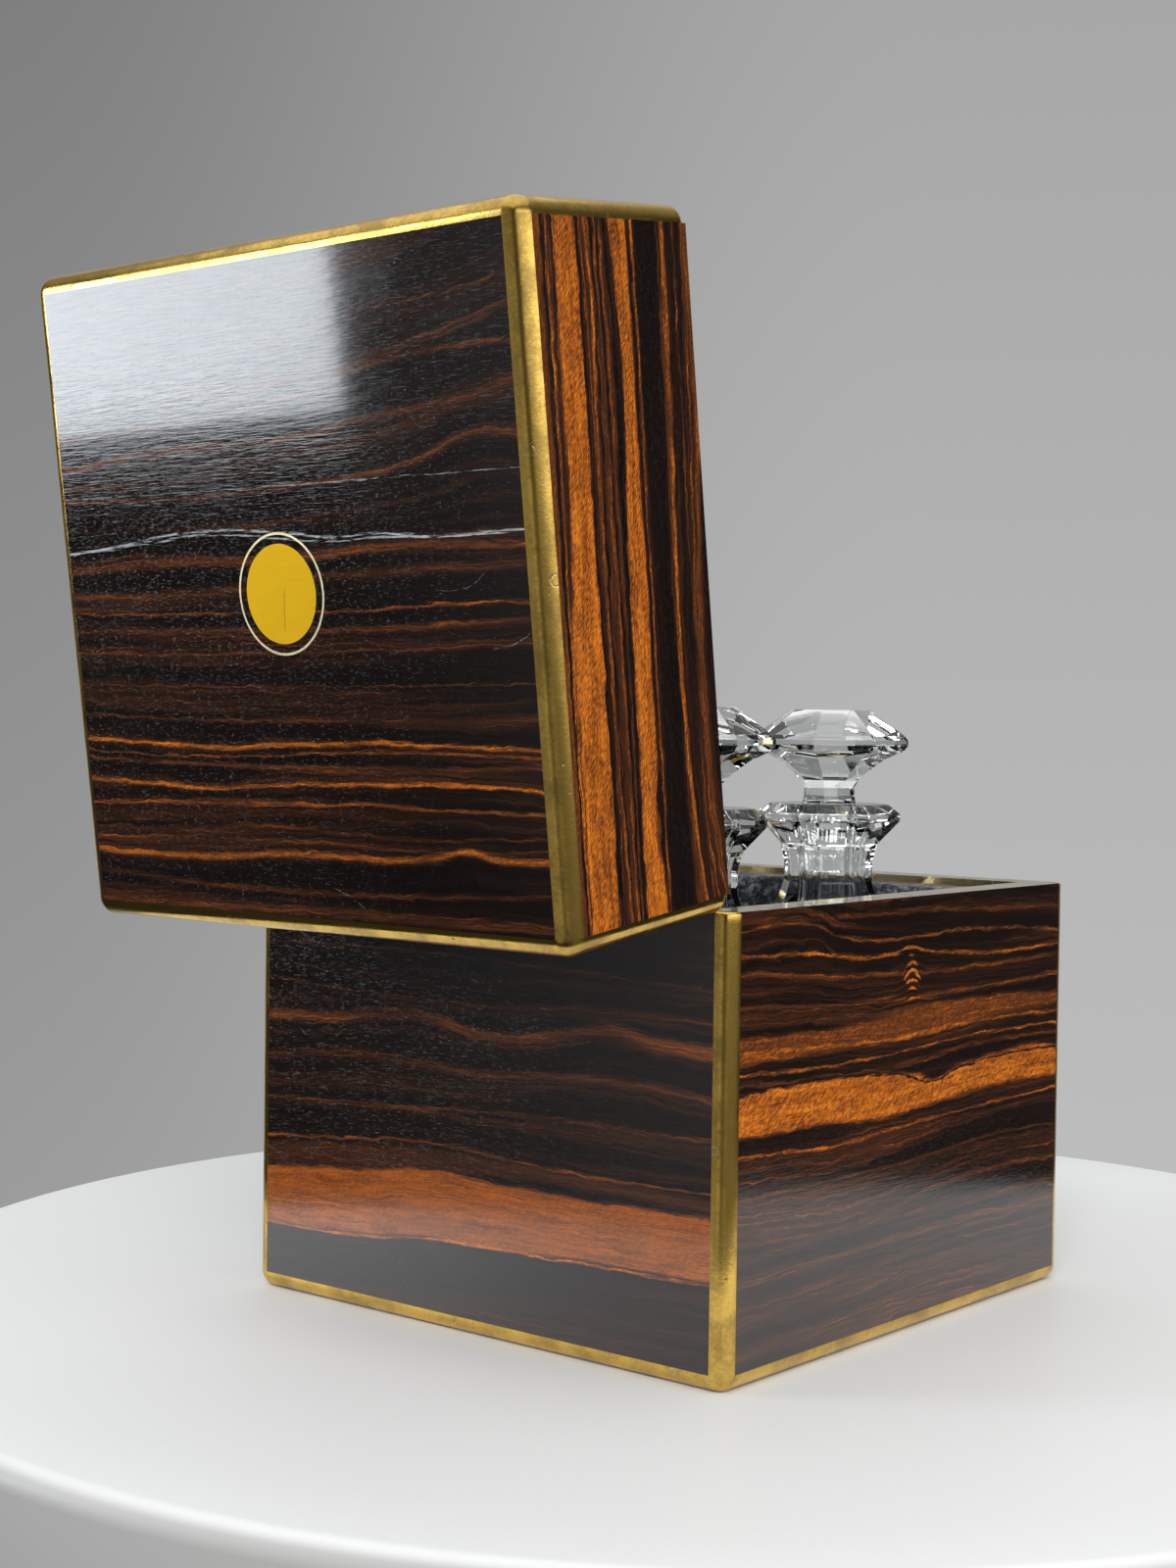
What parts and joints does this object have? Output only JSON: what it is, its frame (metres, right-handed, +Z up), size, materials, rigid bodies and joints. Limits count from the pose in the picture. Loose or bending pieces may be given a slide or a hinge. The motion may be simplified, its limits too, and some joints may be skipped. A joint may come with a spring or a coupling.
{
  "type": "antique tantalus",
  "caption": "Lockable decanter box with striped veneer, brass edging and a deep hinged lid standing open over cut-glass decanters with faceted mushroom stoppers in a velvet lining.",
  "frame": {"origin": "middle of the box's underside, on the baize", "axes": "+Z up, +X along the hinge line to the right as seen from the lock, -Y out of the front with the lock"},
  "size_m": [0.229, 0.3387, 0.3881],
  "materials": {
    "striped_veneer": "high-gloss french polish over black and orange-brown striped veneer",
    "carcass_wood": "planed mahogany, unpolished",
    "edge_brass": "polished brass with an old olive-brown patina",
    "inlay_brass": "bright brass, finely scratched",
    "fitting_brass": "satin brass",
    "steel": "plain steel",
    "velvet": "crushed slate-blue velvet",
    "baize_cloth": "green wool baize",
    "cut_glass": "clear polished lead glass"
  },
  "bodies": {
    "base": {"baize": "baize_cloth", "base_bottom_board": "carcass_wood", "base_corner_mouldings": "edge_brass", "base_edge_mouldings": "edge_brass", "base_front_board": "carcass_wood", "base_front_veneer": "striped_veneer", "base_left_board": "carcass_wood", "base_left_veneer": "striped_veneer", "base_rear_board": "carcass_wood", "base_rear_veneer": "striped_veneer", "base_right_board": "carcass_wood", "base_right_veneer": "striped_veneer", "base_rim_capping": "edge_brass", "divider_front_to_back": "velvet", "divider_side_to_side": "velvet", "escutcheon": "inlay_brass", "floor_pads": "velvet", "front_pad": "velvet", "hinge_base_leaves": "fitting_brass", "hinge_base_screws": "fitting_brass", "hinge_pins": "steel", "left_pad": "velvet", "lock_cap": "fitting_brass", "lock_case": "fitting_brass", "lock_screws": "fitting_brass", "lock_spring": "steel", "rear_pad": "velvet", "right_pad": "velvet"},
    "lid": {"cartouche_disc": "inlay_brass", "cartouche_ring": "inlay_brass", "hinge_lid_leaves": "fitting_brass", "hinge_lid_screws": "fitting_brass", "lid_corner_mouldings": "edge_brass", "lid_edge_mouldings": "edge_brass", "lid_front_board": "carcass_wood", "lid_front_veneer": "striped_veneer", "lid_left_board": "carcass_wood", "lid_left_veneer": "striped_veneer", "lid_rear_board": "carcass_wood", "lid_rear_veneer": "striped_veneer", "lid_right_board": "carcass_wood", "lid_right_veneer": "striped_veneer", "lid_rim_capping": "edge_brass", "lid_side_pads": "velvet", "lid_top_board": "carcass_wood", "lid_top_pad": "velvet", "lid_top_veneer": "striped_veneer", "link_plate": "fitting_brass", "link_screws": "fitting_brass"},
    "lock_bolt": {"lock_bolt": "steel"},
    "decanter_front_left": {"decanter_front_left": "cut_glass"},
    "decanter_front_right": {"decanter_front_right": "cut_glass"},
    "decanter_rear_left": {"decanter_rear_left": "cut_glass"},
    "decanter_rear_right": {"decanter_rear_right": "cut_glass"},
    "stopper_front_left": {"stopper_front_left": "cut_glass"},
    "stopper_front_right": {"stopper_front_right": "cut_glass"},
    "stopper_rear_left": {"stopper_rear_left": "cut_glass"},
    "stopper_rear_right": {"stopper_rear_right": "cut_glass"}
  },
  "joints": [
    {"name": "lid_hinge", "type": "hinge", "parent": "base", "child": "lid", "pos_m": [0, 0.1145, 0.1611], "axis": [1, 0, 0], "range_deg": [0, 97.6]},
    {"name": "lock_bolt_slide", "type": "slide", "parent": "base", "child": "lock_bolt", "axis": [1, 0, 0], "range_m": [0, 0.005]},
    {"name": "decanter_front_left_lift", "type": "slide", "parent": "base", "child": "decanter_front_left", "axis": [0, 0, 1], "range_m": [0, 0.24]},
    {"name": "decanter_front_right_lift", "type": "slide", "parent": "base", "child": "decanter_front_right", "axis": [0, 0, 1], "range_m": [0, 0.24]},
    {"name": "decanter_rear_left_lift", "type": "slide", "parent": "base", "child": "decanter_rear_left", "axis": [0, 0, 1], "range_m": [0, 0.24]},
    {"name": "decanter_rear_right_lift", "type": "slide", "parent": "base", "child": "decanter_rear_right", "axis": [0, 0, 1], "range_m": [0, 0.24]},
    {"name": "stopper_front_left_lift", "type": "slide", "parent": "decanter_front_left", "child": "stopper_front_left", "axis": [0, 0, 1], "range_m": [0, 0.09]},
    {"name": "stopper_front_right_lift", "type": "slide", "parent": "decanter_front_right", "child": "stopper_front_right", "axis": [0, 0, 1], "range_m": [0, 0.09]},
    {"name": "stopper_rear_left_lift", "type": "slide", "parent": "decanter_rear_left", "child": "stopper_rear_left", "axis": [0, 0, 1], "range_m": [0, 0.09]},
    {"name": "stopper_rear_right_lift", "type": "slide", "parent": "decanter_rear_right", "child": "stopper_rear_right", "axis": [0, 0, 1], "range_m": [0, 0.09]}
  ]
}
